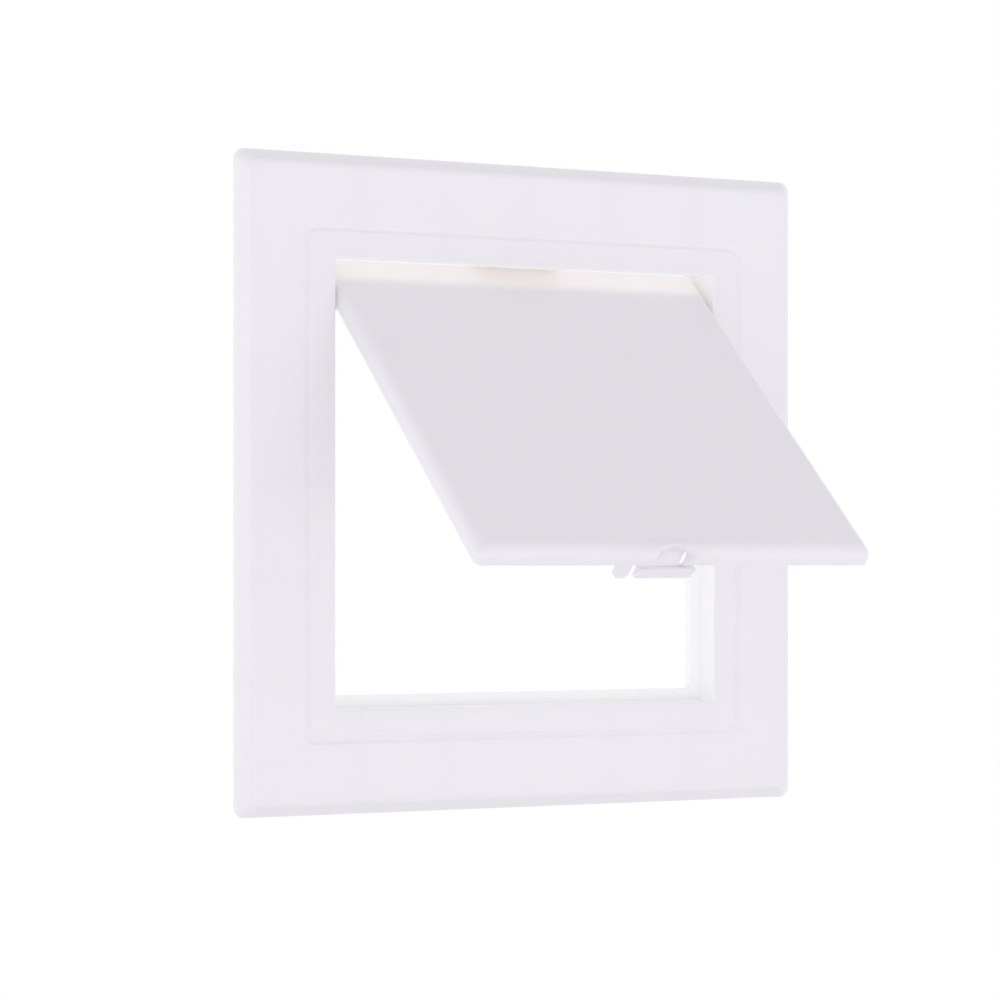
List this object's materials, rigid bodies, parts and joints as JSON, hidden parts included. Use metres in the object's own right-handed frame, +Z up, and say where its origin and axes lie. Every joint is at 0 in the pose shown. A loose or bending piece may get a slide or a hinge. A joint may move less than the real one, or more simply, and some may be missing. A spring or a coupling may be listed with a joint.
{
  "type": "access panel",
  "caption": "Square plastic access panel: wide flange frame with a top-hinged flap and a snap latch, closing an opening in a wall or ceiling lining.",
  "frame": {"origin": "centre of the opening, on the plane of the wall or ceiling surface that the flange's rim rests on", "axes": "+Z up towards the hinged side, +Y into the wall, -Y out of the flange's front, +X across to the right as seen from the front"},
  "size_m": [0.2, 0.1023, 0.2],
  "materials": {
    "frame": "satin white moulded plastic",
    "door": "satin white moulded plastic",
    "latch": "smooth white moulded plastic",
    "pins": "smooth natural acetal"
  },
  "bodies": {
    "frame": {"frame": "frame"},
    "door": {"door_panel": "door", "hinge_pin_left": "pins", "hinge_pin_right": "pins"},
    "latch": {"latch_tongue": "latch"}
  },
  "joints": [
    {"name": "door_hinge", "type": "hinge", "parent": "frame", "child": "door", "pos_m": [0, 0.0055, 0.0568], "axis": [-1, 0, 0], "range_deg": [-47.5, 52.5]},
    {"name": "latch_flex", "type": "hinge", "parent": "door", "child": "latch", "pos_m": [0, -0.08663, -0.0188], "axis": [1, 0, 0], "range_deg": [0, 12], "stiffness_Nm_per_rad": 0.5}
  ]
}
